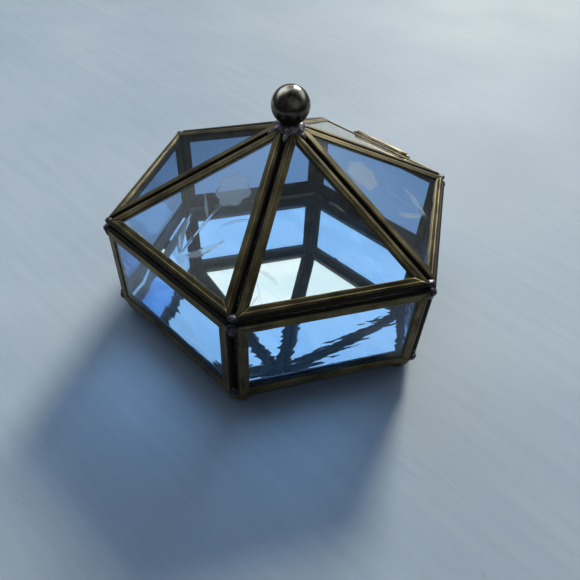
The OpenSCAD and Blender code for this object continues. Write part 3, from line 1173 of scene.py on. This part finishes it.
# %% Lamp
LIGHT_WAY = Vector((0.345, -0.786, -0.515))
lamp_data = bpy.data.lights.new("broad_lamp", "SUN")
lamp_data.energy = 3.6
lamp_data.color = (1.0, 0.96, 0.82)
lamp_data.angle = math.radians(14)
lamp = bpy.data.objects.new("broad_lamp", lamp_data)
lamp.rotation_euler = LIGHT_WAY.to_track_quat("-Z", "Y").to_euler()
bpy.context.scene.collection.objects.link(lamp)
print("lamp", round(math.degrees(math.asin(-unit(LIGHT_WAY).z))), "degrees up")

# %% [markdown]
# ## The sky of a room
#
# Polished things need something to reflect, and a room is never equally bright all round: it
# is pale over and behind the casket and darker on the viewer's side, which is what gives the
# brass its depth. So the world answers three kinds of ray in its own way. What is seen
# straight, or through glass alone, is one pale tone. What comes back from brass, mirror or
# the face of a pane is the uneven room. What lights matt things is the same room, bluer.
# An image of a real room could do all this, but two soft steps between tones are enough.


# %% Sky
class SkyFinish(Finish):
    """The same node-making for the world."""

    def __init__(self, world):
        world.use_nodes = True
        self.tree = world.node_tree
        self.tree.nodes.clear()


world = bpy.data.worlds.new("soft_room")
sky = SkyFinish(world)
behind = sky.along(-TO_VIEWER, "Generated").between(-0.05, 0.6)
overhead = sky.along((0.0, 0.0, 1.0), "Generated").between(0.22, 0.6)
open_sky = behind * overhead
for_matt = sky.blend(open_sky, (0.05, 0.07, 0.11), (0.74, 0.95, 1.26))
for_shiny = sky.blend(open_sky, (0.026, 0.028, 0.032), (1.13, 1.26, 1.29))
seen, lighting, reflected = (
    sky.node("Background", None, {"Color": colour, "Strength": 1.0})
    for colour in ((0.85, 0.93, 0.97), for_matt, for_shiny)
)
shiny_bounces = sky.node("LightPath", output="Glossy Depth")
matt_bounces = sky.node("LightPath", output="Diffuse Depth")
light = sky.node("MixShader", None, {0: shiny_bounces.at_most(1), 1: lighting, 2: reflected})
bounced = (shiny_bounces + matt_bounces).at_most(1)
light = sky.node("MixShader", None, {0: bounced, 1: seen, 2: light})
ending = sky.tree.nodes.new("ShaderNodeOutputWorld")
sky.tree.links.new(light.socket, ending.inputs["Surface"])
bpy.context.scene.world = world
bpy.context.scene.view_settings.view_transform = "Standard"
print("sky of", len(sky.tree.nodes), "nodes")

# %% [markdown]
# ## Camera
#
# A hand-held view from above, a little turned: 44.5 degrees down, with one corner of the
# hexagon nearly towards us and a slight roll. The focal length is counted in pixels of a
# square render 580 wide, and becomes a lens in millimetres.

# %% Where the viewer stands
AZIMUTH, ELEVATION, ROLL = math.radians(41.72), math.radians(44.48), math.radians(-3.28)
EYE = Vector((113.53, -122.53, 159.50)) * MM
FOCAL_PIXELS, RENDER_PIXELS = 541.1, 580
level = Vector((math.sin(AZIMUTH), -math.cos(AZIMUTH), 0))
forward = -(level * math.cos(ELEVATION) + Vector((0, 0, math.sin(ELEVATION))))
right = forward.cross(Vector((0, 0, 1))).normalized()
down = forward.cross(right)
across = right * math.cos(ROLL) + down * math.sin(ROLL)
downward = down * math.cos(ROLL) - right * math.sin(ROLL)
lens = bpy.data.cameras.new("viewer")
lens.sensor_width = 36
lens.lens = FOCAL_PIXELS / RENDER_PIXELS * lens.sensor_width
lens.clip_start = 0.01
viewer = bpy.data.objects.new("viewer", lens)
facing = Matrix((across, -downward, -forward)).transposed()
viewer.matrix_world = Matrix.Translation(EYE) @ facing.to_4x4()
bpy.context.scene.collection.objects.link(viewer)
bpy.context.scene.camera = viewer
print(f"lens {lens.lens:.1f} mm, {EYE.length / MM:.0f} mm from the middle of the base")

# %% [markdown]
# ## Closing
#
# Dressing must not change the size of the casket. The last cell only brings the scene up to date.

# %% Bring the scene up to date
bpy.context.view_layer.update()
